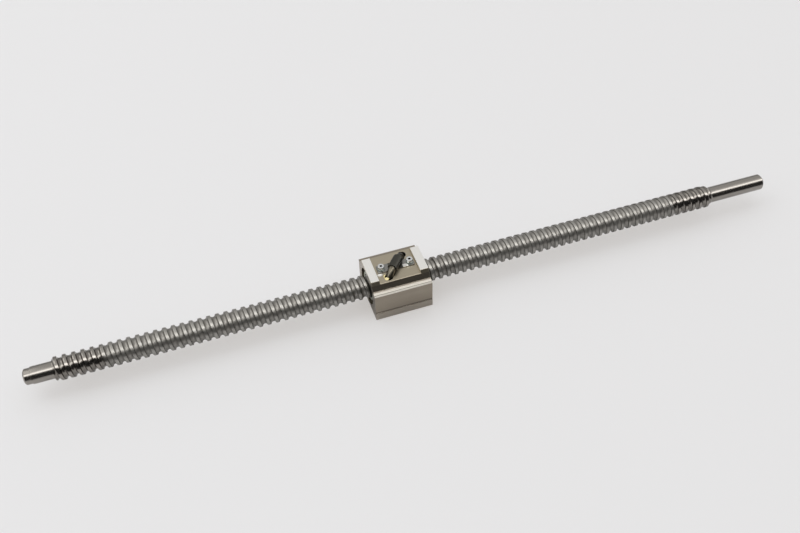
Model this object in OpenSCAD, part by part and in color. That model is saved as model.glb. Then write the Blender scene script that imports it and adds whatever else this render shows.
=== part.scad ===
// Rolled ball screw with a square nut and an outside return tube.
// The screw axis runs along X, the nut stands on its mounting face at Z = 0,
// and the origin is the middle of that face. All sizes are in millimetres.

/* [Screw thread] */
// Outside diameter of the thread
screw_od = 14; // [13:0.5:15]
// Travel of the nut for one turn of the screw
lead = 5; // [4.5:0.25:6]
// Diameter of the balls
ball_d = 3.175; // [2.8:0.025:3.2]
// Height of the ball centres above the crest of the thread
ball_rise = 0.25; // [0.1:0.05:0.4]
// Room left round a ball in the tracks of the screw and the nut
track_gap = 0.15; // [0.1:0.01:0.2]
// Flat faces that stand for one turn of the screw's thread
thread_faces = 12; // [10:1:13]
// Length of the threaded part
thread_l = 408; // [380:1:420]
// Distance from the left end of the thread to the middle of the nut
nut_station = 197; // [170:1:230]
// Length of the cone that ends the thread at the right
runout_l = 3.5; // [1:0.5:5]
// Chamfer on the left end of the thread
thread_chamfer = 0.8; // [0.2:0.1:1.2]

/* [Shaft ends] */
// Diameter of the left journal
left_journal_d = 10; // [8:0.5:10.5]
// Length of the left journal with its turned-down end
left_journal_l = 16; // [10:1:30]
// Diameter of the turned-down end of the left journal
left_tip_d = 9.2; // [7:0.1:9.6]
// Length of the turned-down end of the left journal
left_tip_l = 4; // [2:0.5:8]
// Chamfer on the left end
left_chamfer = 0.8; // [0.2:0.1:1.5]
// Diameter of the right journal
right_journal_d = 10; // [8:0.5:10.5]
// Length of the right journal
right_journal_l = 38; // [20:1:60]
// Chamfer on the right end
right_chamfer = 1.2; // [0.2:0.1:2]
// Diameter of the centre holes in both ends
centre_d = 2; // [1:0.5:3]
// Depth of the centre holes
centre_depth = 1; // [0.5:0.1:1.2]

/* [Nut block] */
// Length of the nut along the screw
nut_l = 35; // [34:0.5:45]
// Width of the nut across its ground base
nut_w = 33; // [32.5:0.5:38]
// Height of the screw axis above the mounting face
axis_h = 13; // [12.5:0.25:16]
// Steel left between the ball track and the floor of the top recess
roof_t = 1.7; // [1.5:0.1:2.2]
// Length of each end strip
strip_l = 5.1; // [5.1:0.1:6]
// Depth of the recess between the end strips
recess_depth = 1.6; // [1.2:0.1:1.8]
// Width of the top
top_w = 19; // [18:0.5:21]
// Width at the foot of the sloping upper sides
shoulder_w = 27; // [26:0.2:28]
// Height of the side ledges above the screw axis
ledge_rise = 7.25; // [6:0.25:8.5]
// Height of the ground reference band along each side
band_h = 5.2; // [4:0.2:7]
// How far the sides step in above the reference band
band_step = 0.3; // [0.1:0.05:0.6]
// Bevel on the outer edge of the ledges
ledge_bevel = 0.5; // [0.2:0.1:0.8]
// Size of the slanted corner between a ledge and the sloping side above it
ledge_corner = 0.8; // [0.3:0.1:1]
// Bevel along the edges of the mounting face
base_bevel = 0.4; // [0.2:0.1:0.8]
// Room between the crest of the thread and the bore of the nut
bore_gap = 0.3; // [0.2:0.05:0.4]

/* [Mounting holes] */
// Distance between the mounting holes along the screw
hole_pitch_x = 22; // [18:0.5:26]
// Distance between the mounting holes across the screw
hole_pitch_y = 26; // [24:0.5:27]
// Core diameter of the tapped mounting holes
hole_d = 3.3; // [2.5:0.1:4.2]
// Depth of the mounting holes
hole_depth = 7; // [4:0.5:8]

/* [Return tube] */
// Turns of balls round the screw, always a whole number and a half
turns = 2.5; // [1.5:1:2.5]
// Distance from the middle of the nut to the middle of the ball circuit
circuit_shift = 0.25; // [-0.5:0.05:0.5]
// Room round a ball inside the tube, measured on the diameter
tube_room = 0.25; // [0.2:0.05:0.4]
// Wall of the tube
tube_wall = 0.5; // [0.4:0.05:0.6]
// Radius of the two elbows at the middle of the tube
tube_bend_r = 6.8; // [6:0.1:7.4]
// Room between the tube's cross run and the floor of the top recess
tube_lift = 0.1; // [0.05:0.05:0.5]
// Height of the lower ends of the tube above the screw axis
tube_foot = 0.8; // [0.5:0.1:2]
// Room between the tube and the nut block
tube_gap = 0.15; // [0.1:0.05:0.2]
// Extra room beside the tube in its two leg holes
leg_hole_gap = 0.2; // [0.06:0.02:0.3]

/* [Tube clamp] */
// Thickness of the clamp's sheet
clamp_t = 0.6; // [0.4:0.1:0.8]
// Width of the two ears
ear_w = 5.8; // [4.6:0.1:6]
// How far each ear reaches past the middle of its screw
ear_reach = 2.6; // [2.3:0.1:2.7]
// Radius of the ears' corners
ear_corner = 0.8; // [0.4:0.1:1.5]
// Distance between the two clamp screws
clamp_pitch = 17.4; // [17:0.2:18.4]
// Length of the saddle along the tube
saddle_l = 9; // [6:0.5:9]
// Room between the saddle and the tube
saddle_gap = 0.1; // [0.05:0.05:0.2]

/* [Clamp screws] */
// Thread diameter of the clamp screws
clamp_screw_d = 2; // [1.6:0.1:2.2]
// Head diameter of the clamp screws
clamp_head_d = 3.8; // [3.4:0.1:4.2]
// Head height of the clamp screws
clamp_head_h = 2; // [1.6:0.1:2.5]
// Width across flats of the hexagon socket
socket_w = 1.5; // [1.3:0.1:1.8]
// Depth of the hexagon socket
socket_depth = 1; // [0.6:0.1:1.3]
// How deep the clamp screws reach into the nut
clamp_screw_reach = 2.4; // [1.5:0.1:2.6]
// Outside diameter of the spring washers
washer_d = 4.4; // [4:0.1:4.6]
// Thickness of the spring washers
washer_t = 0.5; // [0.4:0.1:0.8]
// Width of the slit in the spring washers
washer_slit = 0.4; // [0.2:0.1:0.6]
// Room round a clamp screw in its hole, washer and ear
screw_gap = 0.05; // [0.02:0.01:0.1]

/* [Seals] */
// Distance from the crest of the thread out to the wall of the counterbore
seal_room = 4.2; // [4:0.1:4.3]
// Depth of the counterbore
counterbore_depth = 4.4; // [4.2:0.1:4.5]
// Thickness of the seal's flange
seal_flange_t = 1.4; // [1:0.1:1.6]
// Whole thickness of the seal
seal_t = 3.7; // [3.2:0.1:4]
// Wall of the seal's raised hub round the screw
seal_hub_t = 1.5; // [0.8:0.1:1.6]
// Room between the seal and its counterbore
seal_gap = 0.1; // [0.05:0.05:0.15]
// Room between the seal and the crest of the thread
lip_gap = 0.2; // [0.15:0.05:0.3]
// Thickness of the retaining rings
ring_t = 0.8; // [0.6:0.1:0.9]
// Width of the retaining rings from inside to outside
ring_w = 1.5; // [1.3:0.1:1.6]
// Depth of the groove for a retaining ring
ring_groove = 0.5; // [0.4:0.05:0.55]
// Room round a retaining ring in its groove
ring_gap = 0.08; // [0.05:0.01:0.12]
// Opening angle of the retaining rings
ring_opening = 40; // [25:5:60]

/* [Hidden] */

// Smoothness of the true round surfaces
$fn = 64;
// Length by which a cutting shape passes the face that it cuts
over = 1;

// Screw and ball circle
screw_r = screw_od / 2;
ball_r = ball_d / 2;
circle_r = screw_r + ball_rise;
bore_r = screw_r + bore_gap;
thread_left = -nut_station;
thread_right = thread_left + thread_l;

// The ball circuit starts on the near side of the screw and ends on its far side
circuit_l = turns * lead;
circuit_left = circuit_shift - circuit_l / 2;
// Where the middle of the groove meets the far side of the screw, on the +Y side
groove_x = circuit_left - lead / 2;
turn_l = sqrt(pow(2 * PI * circle_r, 2) + pow(lead, 2));

// Eight straight sides are laid round the ball and its room; four of them are the groove's flanks
side_angle = 45;
groove_r = ball_r + track_gap;
corner_r = groove_r / cos(side_angle / 2);
flank_top = (groove_r - ball_rise * sin(side_angle / 2)) / cos(side_angle / 2);
// One groove of the thread from edge to edge, as [along the axis, radius]
thread_outline = [
  [-flank_top, screw_r],
  [-corner_r * sin(side_angle), circle_r - corner_r * cos(side_angle)],
  [0, circle_r - corner_r],
  [corner_r * sin(side_angle), circle_r - corner_r * cos(side_angle)],
  [flank_top, screw_r]
];

// Ball track in the nut: six straight sides round the ball, one of them outermost,
// in steps that are lengthened so that the middle of each still clears the ball
track_sides = 6;
track_steps = 12;
track_stretch = 1 / cos(180 / track_steps);
track_outer = (circle_r + groove_r) * track_stretch;

// Nut heights
floor_h = axis_h + track_outer + roof_t;
strip_h = floor_h + recess_depth;
ledge_h = axis_h + ledge_rise;
side_w = nut_w - 2 * band_step;
recess_l = nut_l - 2 * strip_l;

// Return tube
tube_r = ball_r + tube_room / 2 + tube_wall;
tube_bore_r = ball_r + tube_room / 2;
tube_h = floor_h + tube_lift + tube_r;
tube_angle = atan2(2 * circle_r, circuit_l);
tube_span = sqrt(pow(circuit_l, 2) + pow(2 * circle_r, 2));
run_l = tube_span - 2 * tube_bend_r;
elbow_h = tube_h - tube_bend_r;
leg_l = elbow_h - axis_h;
elbow_pocket_r = tube_r + tube_gap;
leg_hole_r = elbow_pocket_r + leg_hole_gap;
// A slanted hole leads each elbow into the block; its lowest line is a chord of the elbow's inner side
elbow_inner_r = tube_bend_r - elbow_pocket_r;
slant = asin((tube_bend_r - leg_hole_r) / elbow_inner_r) / 2;
slant_l = 2 * elbow_inner_r * sin(slant) + over;

// Clamp and its screws
saddle_r = tube_r + saddle_gap;
ear_top = floor_h + clamp_t;
head_bottom = ear_top + washer_t;

// Seals and retaining rings
counterbore_r = screw_r + seal_room;
lip_r = screw_r + lip_gap;
hub_r = lip_r + seal_hub_t;
seal_seat = nut_l / 2 - counterbore_depth;
ring_seat = seal_seat + seal_flange_t + 2 * ring_gap;
ring_r = counterbore_r + ring_groove - ring_gap;
// Flat sides that stand for the hidden round wall of each ring groove
groove_sides = 12;
groove_corner_r = (counterbore_r + ring_groove) / cos(180 / groove_sides);

// Balls, with a little room between neighbours
ball_spacing = 1.025;
ball_pitch = ball_d * ball_spacing;
track_l = turns * turn_l;
track_count = floor(track_l / ball_pitch) + 1;
elbow_arc = PI / 2 * tube_bend_r;
tube_path_l = 2 * leg_l + 2 * elbow_arc + run_l;
tube_count = floor(tube_path_l / ball_pitch) - 1;
tube_pitch = tube_path_l / (tube_count + 1);

// Point on the helix of the ball circle, with the angle counted from +Y towards +Z
function helix(angle, x, radius) = [x, radius * cos(angle), axis_h + radius * sin(angle)];

// Place of a ball in the return tube, at a distance along its middle from the near leg's foot
function tube_u(s) =
  s < leg_l ? -tube_span / 2 :
  s < leg_l + elbow_arc ? -run_l / 2 - tube_bend_r * cos((s - leg_l) / tube_bend_r * 180 / PI) :
  s < leg_l + elbow_arc + run_l ? s - leg_l - elbow_arc - run_l / 2 :
  -tube_u(tube_path_l - s);
function tube_z(s) =
  s < leg_l ? axis_h + s :
  s < leg_l + elbow_arc ? elbow_h + tube_bend_r * sin((s - leg_l) / tube_bend_r * 180 / PI) :
  s < leg_l + elbow_arc + run_l ? tube_h :
  tube_z(tube_path_l - s);

// Turns a shape that is built along Z so that it lies along the screw axis
module along_x(x) {
  translate([x, 0, axis_h]) rotate([90, 0, 90]) children();
}

// Puts a shape that is built in the tube's own plane across the nut
module across_nut() {
  translate([circuit_shift, 0, 0]) rotate([0, 0, tube_angle]) children();
}

// Threaded bar with right-hand grooves: the outline of one pitch is carried along the helix,
// and each row of faces closes on the row that lies one turn further on
module threaded_bar(from, to) {
  steps = thread_faces;
  points_per_row = len(thread_outline);
  start_turn = floor((from - groove_x) / lead) - 2;
  rows = (ceil((to - from) / lead) + 4) * steps;
  left_tip = groove_x + (start_turn - 1) * lead;
  right_tip = left_tip + (rows / steps + 3) * lead;
  points = concat(
    [for (i = [0 : rows + steps]) for (p = thread_outline)
      helix(i * 360 / steps, groove_x + (start_turn + i / steps) * lead + p[0], p[1])],
    [[left_tip, 0, axis_h], [right_tip, 0, axis_h]]
  );
  last = (rows + steps + 1) * points_per_row;
  flanks = [for (i = [0 : rows - 1]) for (j = [0 : points_per_row - 1])
    let (
      a = i * points_per_row + j,
      b = j < points_per_row - 1 ? a + 1 : (i + steps) * points_per_row,
      c = a + points_per_row,
      d = b + points_per_row
    ) each [[a, b, d], [a, d, c]]];
  left_cap = concat(
    [for (i = [0 : steps - 1]) [last, i * points_per_row, (i + 1) * points_per_row]],
    [for (j = [0 : points_per_row - 1])
      [last, j < points_per_row - 1 ? j + 1 : steps * points_per_row, j]]
  );
  right_cap = concat(
    [for (i = [rows : rows + steps - 1]) [last + 1, (i + 1) * points_per_row, i * points_per_row]],
    [for (j = [0 : points_per_row - 1])
      [last + 1, rows * points_per_row + j,
        j < points_per_row - 1 ? rows * points_per_row + j + 1 : (rows + steps) * points_per_row]]
  );
  polyhedron(points, concat(flanks, left_cap, right_cap));
}

// Envelope that trims the thread: a square shoulder at the left and a cone at the right
module thread_envelope() {
  edge = screw_r + over;
  along_x(0) rotate_extrude() polygon([
    [0, thread_left],
    [screw_r - thread_chamfer, thread_left],
    [edge, thread_left + thread_chamfer + over],
    [edge, thread_right - runout_l - over],
    [screw_r, thread_right - runout_l],
    [right_journal_d / 2, thread_right],
    [0, thread_right]
  ]);
}

module screw_shaft() {
  left_end = thread_left - left_journal_l;
  right_end = thread_right + right_journal_l;
  color("#8b8a86") union() {
    intersection() {
      threaded_bar(thread_left, thread_right);
      thread_envelope();
    }
    along_x(0) rotate_extrude() polygon([
      [0, left_end + centre_depth],
      [centre_d / 2, left_end],
      [left_tip_d / 2 - left_chamfer, left_end],
      [left_tip_d / 2, left_end + left_chamfer],
      [left_tip_d / 2, left_end + left_tip_l],
      [left_journal_d / 2, left_end + left_tip_l],
      [left_journal_d / 2, thread_left + over],
      [0, thread_left + over]
    ]);
    along_x(0) rotate_extrude() polygon([
      [0, thread_right - over],
      [right_journal_d / 2 - over / 2, thread_right - over],
      [right_journal_d / 2, thread_right],
      [right_journal_d / 2, right_end - right_chamfer],
      [right_journal_d / 2 - right_chamfer, right_end],
      [centre_d / 2, right_end],
      [0, right_end - centre_depth]
    ]);
  }
}

// Helical channel for the balls, with flat sides that lie just outside the ball and its room
module track_cutter() {
  sides = track_sides;
  rows = round(turns * track_steps);
  edge_r = groove_r / cos(180 / sides);
  ring = [for (j = [0 : sides - 1])
    let (angle = (j + 0.5) * 360 / sides) -edge_r * [sin(angle), cos(angle)]];
  points = [for (i = [0 : rows]) for (p = ring)
    helix(180 + i * 360 / track_steps, circuit_left + i * lead / track_steps + p[0],
      (circle_r + p[1]) * track_stretch)];
  walls = [for (i = [0 : rows - 1]) for (j = [0 : sides - 1])
    let (
      a = i * sides + j,
      b = i * sides + (j + 1) % sides,
      c = a + sides,
      d = b + sides
    ) each [[a, b, d], [a, d, c]]];
  near_end = [[for (j = [sides - 1 : -1 : 0]) j]];
  far_end = [[for (j = [0 : sides - 1]) rows * sides + j]];
  polyhedron(points, concat(walls, near_end, far_end));
}

// Quarter of a ring, from the cross run down into a leg
module elbow(side) {
  translate([side * run_l / 2, 0, elbow_h]) rotate([90, 0, side > 0 ? 0 : 180])
    rotate_extrude(angle = 90) translate([tube_bend_r, 0]) children();
}

// Cross section of the return tube
module tube_section() {
  difference() {
    circle(r = tube_r);
    circle(r = tube_bore_r);
  }
}

// One half of the return tube: half of the cross run, an elbow and a leg
module tube_half() {
  translate([0, 0, tube_h]) rotate([90, 0, 90]) linear_extrude(height = run_l / 2) tube_section();
  elbow(1) tube_section();
  translate([tube_span / 2, 0, axis_h + tube_foot])
    linear_extrude(height = elbow_h - axis_h - tube_foot) tube_section();
}

// Both halves meet over the screw, and their feet are hollowed to pass round its thread
module return_tube() {
  color("#5b5a57") for (turn = [0, 180]) difference() {
    across_nut() rotate([0, 0, turn]) tube_half();
    along_x(-nut_l / 2) cylinder(r = bore_r, h = nut_l);
  }
}

module nut_outline() {
  slope = (shoulder_w - top_w) / 2 / (strip_h - ledge_h);
  slope_foot = shoulder_w / 2 - slope * ledge_corner;
  polygon([
    [-nut_w / 2 + base_bevel, 0],
    [nut_w / 2 - base_bevel, 0],
    [nut_w / 2, base_bevel],
    [nut_w / 2, band_h],
    [side_w / 2, band_h + band_step],
    [side_w / 2, ledge_h - ledge_bevel],
    [side_w / 2 - ledge_bevel, ledge_h],
    [shoulder_w / 2 + ledge_corner / 2, ledge_h],
    [slope_foot, ledge_h + ledge_corner],
    [top_w / 2, strip_h],
    [-top_w / 2, strip_h],
    [-slope_foot, ledge_h + ledge_corner],
    [-shoulder_w / 2 - ledge_corner / 2, ledge_h],
    [-side_w / 2 + ledge_bevel, ledge_h],
    [-side_w / 2, ledge_h - ledge_bevel],
    [-side_w / 2, band_h + band_step],
    [-nut_w / 2, band_h],
    [-nut_w / 2, base_bevel]
  ]);
}

// Bore, counterbores and ring grooves, in one turned shape
module nut_bore() {
  along_x(0) cylinder(r = bore_r, h = nut_l + 2 * over, center = true);
  for (side = [-1, 1]) {
    along_x(0) translate([0, 0, side > 0 ? seal_seat : -nut_l / 2 - over])
      cylinder(r = counterbore_r, h = counterbore_depth + over);
    along_x(0) translate([0, 0, side > 0 ? ring_seat - ring_gap : -ring_seat - ring_t - ring_gap])
      rotate([0, 0, 180 / groove_sides])
        cylinder(r = groove_corner_r, h = ring_t + 2 * ring_gap, $fn = groove_sides);
  }
}

// Openings for the return tube: an upright hole for each leg and a slanted one for each elbow
module tube_openings() {
  across_nut() for (turn = [0, 180]) rotate([0, 0, turn]) {
    translate([tube_span / 2, 0, axis_h - tube_gap])
      cylinder(r = leg_hole_r, h = floor_h - axis_h + over);
    translate([run_l / 2, 0, elbow_h]) rotate([0, 90 + slant, 0])
      translate([-elbow_inner_r * cos(slant) - leg_hole_r, 0, -slant_l / 2])
        cylinder(r = leg_hole_r, h = slant_l);
  }
}

module nut_block() {
  color("#8c857a") difference() {
    translate([-nut_l / 2, 0, 0]) rotate([90, 0, 90]) linear_extrude(height = nut_l) nut_outline();
    translate([-recess_l / 2, -nut_w / 2, floor_h]) cube([recess_l, nut_w, recess_depth + over]);
    nut_bore();
    tube_openings();
    track_cutter();
    for (x = [-1, 1] * hole_pitch_x / 2) for (y = [-1, 1] * hole_pitch_y / 2)
      translate([x, y, -over]) cylinder(d = hole_d, h = hole_depth + over);
    for (x = [-1, 1] * clamp_pitch / 2)
      translate([circuit_shift + x, 0, floor_h - clamp_screw_reach - screw_gap])
        cylinder(r = clamp_screw_d / 2 + screw_gap, h = clamp_screw_reach + over);
  }
}

// Plate with round corners that makes both ears
module ear_plate() {
  flat_l = clamp_pitch + 2 * ear_reach - 2 * ear_corner;
  flat_w = ear_w - 2 * ear_corner;
  square([flat_l, ear_w], center = true);
  square([flat_l + 2 * ear_corner, flat_w], center = true);
  for (x = [-1, 1] * flat_l / 2) for (y = [-1, 1] * flat_w / 2) translate([x, y]) circle(r = ear_corner);
}

// Pressed saddle over the tube, with an ear at each side for a screw
module tube_clamp() {
  color("#9a9994") difference() {
    union() {
      across_nut() translate([-saddle_l / 2, 0, tube_h]) rotate([0, 90, 0])
        cylinder(r = saddle_r + clamp_t, h = saddle_l);
      translate([circuit_shift, 0, floor_h]) linear_extrude(height = clamp_t) ear_plate();
    }
    across_nut() {
      translate([-nut_l / 2, 0, tube_h]) rotate([0, 90, 0]) cylinder(r = saddle_r, h = nut_l);
      for (side = [-1, 1]) elbow(side) circle(r = saddle_r);
    }
    translate([-nut_l / 2, -nut_w / 2, 0]) cube([nut_l, nut_w, floor_h]);
    for (x = [-1, 1] * clamp_pitch / 2) translate([circuit_shift + x, 0, floor_h - over])
      cylinder(r = clamp_screw_d / 2 + screw_gap, h = clamp_t + 2 * over);
  }
}

module clamp_screw(side) {
  color("#c9c8c4") translate([circuit_shift + side * clamp_pitch / 2, 0, head_bottom]) difference() {
    union() {
      cylinder(d = clamp_head_d, h = clamp_head_h);
      translate([0, 0, floor_h - clamp_screw_reach - head_bottom])
        cylinder(d = clamp_screw_d, h = head_bottom - floor_h + clamp_screw_reach);
    }
    translate([0, 0, clamp_head_h - socket_depth])
      cylinder(r = socket_w / 2 / cos(30), h = socket_depth + over, $fn = 6);
  }
}

module spring_washer(side) {
  color("#b5b5ae") translate([circuit_shift + side * clamp_pitch / 2, 0, ear_top]) difference() {
    cylinder(d = washer_d, h = washer_t);
    translate([0, 0, -over]) cylinder(r = clamp_screw_d / 2 + screw_gap, h = washer_t + 2 * over);
    translate([0, -washer_slit / 2, -over]) cube([washer_d, washer_slit, washer_t + 2 * over]);
  }
}

// Labyrinth seal: a flange that sits in the counterbore and a hub round the screw
module seal(side) {
  color("#7e8077") along_x(0) rotate([side > 0 ? 0 : 180, 0, 0]) rotate_extrude() polygon([
    [lip_r, seal_seat],
    [counterbore_r - seal_gap, seal_seat],
    [counterbore_r - seal_gap, seal_seat + seal_flange_t],
    [hub_r, seal_seat + seal_flange_t],
    [hub_r, seal_seat + seal_t],
    [lip_r, seal_seat + seal_t]
  ]);
}

// Open retaining ring in the groove in front of a seal
module seal_ring(side) {
  color("#4c4b49") along_x(side > 0 ? ring_seat : -ring_seat - ring_t)
    rotate([0, 0, -90 + ring_opening / 2]) rotate_extrude(angle = 360 - ring_opening)
      translate([ring_r - ring_w, 0]) square([ring_w, ring_t]);
}

module track_balls() {
  color("#d8d8d6") for (i = [0 : track_count - 1])
    let (turn = i * ball_pitch / turn_l)
      translate(helix(180 + 360 * turn, circuit_left + lead * turn, circle_r)) sphere(d = ball_d);
}

module tube_balls() {
  color("#d8d8d6") across_nut() for (i = [1 : tube_count])
    translate([tube_u(i * tube_pitch), 0, tube_z(i * tube_pitch)]) sphere(d = ball_d);
}

nut_block();
screw_shaft();
return_tube();
tube_clamp();
clamp_screw(-1);  // left_clamp_screw
clamp_screw(1);  // right_clamp_screw
spring_washer(-1);  // left_spring_washer
spring_washer(1);  // right_spring_washer
seal(-1);  // left_seal
seal(1);  // right_seal
seal_ring(-1);  // left_seal_ring
seal_ring(1);  // right_seal_ring
track_balls();
tube_balls();
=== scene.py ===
import math
import bmesh
import bpy
import numpy as np
from mathutils import Matrix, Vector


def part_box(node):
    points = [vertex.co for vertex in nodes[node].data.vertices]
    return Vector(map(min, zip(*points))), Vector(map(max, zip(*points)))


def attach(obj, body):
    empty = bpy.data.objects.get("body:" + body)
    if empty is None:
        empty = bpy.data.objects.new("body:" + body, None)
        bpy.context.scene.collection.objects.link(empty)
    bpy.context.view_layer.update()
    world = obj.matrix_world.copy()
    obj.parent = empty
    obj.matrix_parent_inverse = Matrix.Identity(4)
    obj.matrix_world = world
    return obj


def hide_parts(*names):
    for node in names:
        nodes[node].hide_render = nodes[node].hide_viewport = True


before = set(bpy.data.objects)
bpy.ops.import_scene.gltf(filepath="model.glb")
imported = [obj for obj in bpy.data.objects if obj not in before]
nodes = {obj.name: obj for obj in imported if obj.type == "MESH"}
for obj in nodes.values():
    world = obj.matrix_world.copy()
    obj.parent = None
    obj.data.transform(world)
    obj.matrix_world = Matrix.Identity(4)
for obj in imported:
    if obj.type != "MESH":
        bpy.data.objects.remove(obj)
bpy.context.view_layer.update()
mm = 0.001
axisHeight = 13.0  # screw axis above the mounting face; sizes below are in millimetres
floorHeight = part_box("tube_clamp")[0].z / mm  # floor of the nut's top recess
screwPitch = 17.4  # distance between the clamp screws
circuit = {  # the balls' way round, which shaft, tube and balls share
    "lead": 5.0,
    "circleRadius": 7.25,  # radius on which the ball centres run
    "ballRadius": 1.5875,
    "turns": 2.5,
    "middle": 0.25,  # along the screw
}
circuitLength = circuit["turns"] * circuit["lead"]
tubeAngle = math.atan2(2 * circuit["circleRadius"], circuitLength)  # between tube and screw, seen from above
tubeAlong = (math.cos(tubeAngle), math.sin(tubeAngle))
print("frame loaded:", len(nodes), "nodes")


# Tools for node trees

def addNode(tree, kind, inputs=None, **settings):
    # a socket among the inputs is linked, and any other value is set
    node = tree.nodes.new("ShaderNode" + kind)
    for key, value in settings.items():
        setattr(node, key, value)
    for key, value in (inputs or {}).items():
        if isinstance(value, bpy.types.NodeSocket):
            tree.links.new(value, node.inputs[key])
        else:
            node.inputs[key].default_value = value
    return node


def newMaskGroup(name, inputs):
    # an empty group with the named inputs, which puts out one mask
    group = bpy.data.node_groups.new(name, "ShaderNodeTree")
    for label, value in inputs.items():
        kind = "NodeSocketFloat" if isinstance(value, float) else "NodeSocketVector"
        socket = group.interface.new_socket(label, in_out="INPUT", socket_type=kind)
        if value is not None:
            socket.default_value = value
    group.interface.new_socket("Mask", in_out="OUTPUT", socket_type="NodeSocketFloat")
    return group, group.nodes.new("NodeGroupInput").outputs, group.nodes.new("NodeGroupOutput").inputs


def useGroup(tree, group, *inputs):
    # the inputs come in the group's own order, beginning with the place
    return addNode(tree, "Group", dict(enumerate(inputs)), node_tree=group).outputs[0]


def calc(tree, operation, first, second=None, clamp=False):
    inputs = {0: first} if second is None else {0: first, 1: second}
    return addNode(tree, "Math", inputs, operation=operation, use_clamp=clamp).outputs[0]


def product(tree, first, *others):
    for other in others:
        first = calc(tree, "MULTIPLY", first, other)
    return first


def distance(tree, first, second):
    # root of the sum of both squares
    return calc(tree, "SQRT", calc(tree, "ADD", product(tree, first, first), product(tree, second, second)))


def remap(tree, value, low, high):
    # a smooth step from 0 at the first limit to 1 at the second, which may lie below the first
    return addNode(tree, "MapRange", {"Value": value, "From Min": low, "From Max": high},
                   interpolation_type="SMOOTHSTEP").outputs["Result"]


def inside(tree, limits, **places):
    # the product of such steps, each for a place and the limits of its name, in millimetres
    steps = (remap(tree, place, *(mm * limit for limit in limits[name])) for name, place in places.items())
    return product(tree, *steps)


def mixColour(tree, share, first, second):
    first, second = (c if isinstance(c, bpy.types.NodeSocket) else (*c, 1) for c in (first, second))
    return addNode(tree, "Mix", {0: share, 6: first, 7: second}, data_type="RGBA").outputs[2]


def paint(tree, colour, s, name, mask):
    # the named colour lies over the one so far, as far as the mask and its share say
    share = s.get(name + "Share")
    return mixColour(tree, mask if share is None else product(tree, mask, share), colour, s[name])


def objectPlace(tree):
    return addNode(tree, "TexCoord").outputs["Object"]


def splitPlace(tree, place):
    return addNode(tree, "SeparateXYZ", {0: place}).outputs


def newMaterial(name, metallic=1.0):
    material = bpy.data.materials.new(name)
    material.use_nodes = True
    tree = material.node_tree
    tree.nodes.clear()
    output = addNode(tree, "OutputMaterial")
    shader = addNode(tree, "BsdfPrincipled", {"Metallic": metallic})
    tree.links.new(shader.outputs["BSDF"], output.inputs["Surface"])
    return material, tree, shader, objectPlace(tree)


def reopen(material):
    # a finished material's tree and shader, its colour so far, and the place on the piece
    tree = material.node_tree
    shader = next(n for n in tree.nodes if n.type == "BSDF_PRINCIPLED")
    return tree, shader, shader.inputs["Base Color"].links[0].from_socket, splitPlace(tree, objectPlace(tree))


def setLooks(tree, shader, colour, rough):
    tree.links.new(colour, shader.inputs["Base Color"])
    tree.links.new(rough, shader.inputs["Roughness"])


def addBump(tree, shader, height, strength, depth=0.01):
    # depth is in millimetres
    bump = addNode(tree, "Bump", {"Height": height, "Strength": strength, "Distance": depth * mm})
    tree.links.new(bump.outputs[0], shader.inputs["Normal"])


# Shared surface effects

def makeToolMarks():
    # noise drawn out along one direction reads as the fine lines that a tool leaves
    group, given, result = newMaskGroup("toolMarks", {"Vector": None, "Stretch": (1, 1, 1), "Contrast": 1.0})
    stretched = addNode(group, "VectorMath", {0: given["Vector"], 1: given["Stretch"]},
                        operation="MULTIPLY").outputs[0]
    noise = addNode(group, "TexNoise", {
        "Vector": stretched, "Scale": 1.0, "Detail": 5.0, "Roughness": 0.62}).outputs[0]
    scaled = product(group, calc(group, "SUBTRACT", noise, 0.5), given["Contrast"])
    group.links.new(calc(group, "ADD", scaled, 0.5, clamp=True), result["Mask"])
    return group


def makeStains():
    # broad uneven patches, as oil and handling leave them on bare steel
    group, given, result = newMaskGroup("stains", {"Vector": None, "Scale": 100.0, "Amount": 1.0})
    noise = addNode(group, "TexNoise", {
        "Vector": given["Vector"], "Scale": given["Scale"], "Detail": 6.0, "Roughness": 0.55,
        "Distortion": 0.6}).outputs[0]
    group.links.new(product(group, remap(group, noise, 0.38, 0.66), given["Amount"]), result["Mask"])
    return group


def makeEdgeWear():
    # where the rounded normal leaves the true one there is an edge, which handling rubs bright
    group, given, result = newMaskGroup("edgeWear", {"Vector": None, "Radius": 0.3 * mm})
    rounded = addNode(group, "Bevel", {"Radius": given["Radius"]}, samples=4).outputs[0]
    true = addNode(group, "NewGeometry").outputs["Normal"]
    along = addNode(group, "VectorMath", {0: rounded, 1: true}, operation="DOT_PRODUCT").outputs["Value"]
    edge = remap(group, calc(group, "SUBTRACT", 1.0, along), 0.01, 0.12)
    noise = addNode(group, "TexNoise", {
        "Vector": given["Vector"], "Scale": 900.0, "Detail": 3.0}).outputs[0]
    group.links.new(product(group, edge, remap(group, noise, 0.3, 0.6)), result["Mask"])
    return group


toolMarks, stains, edgeWear = makeToolMarks(), makeStains(), makeEdgeWear()


# Steel of the shaft

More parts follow.
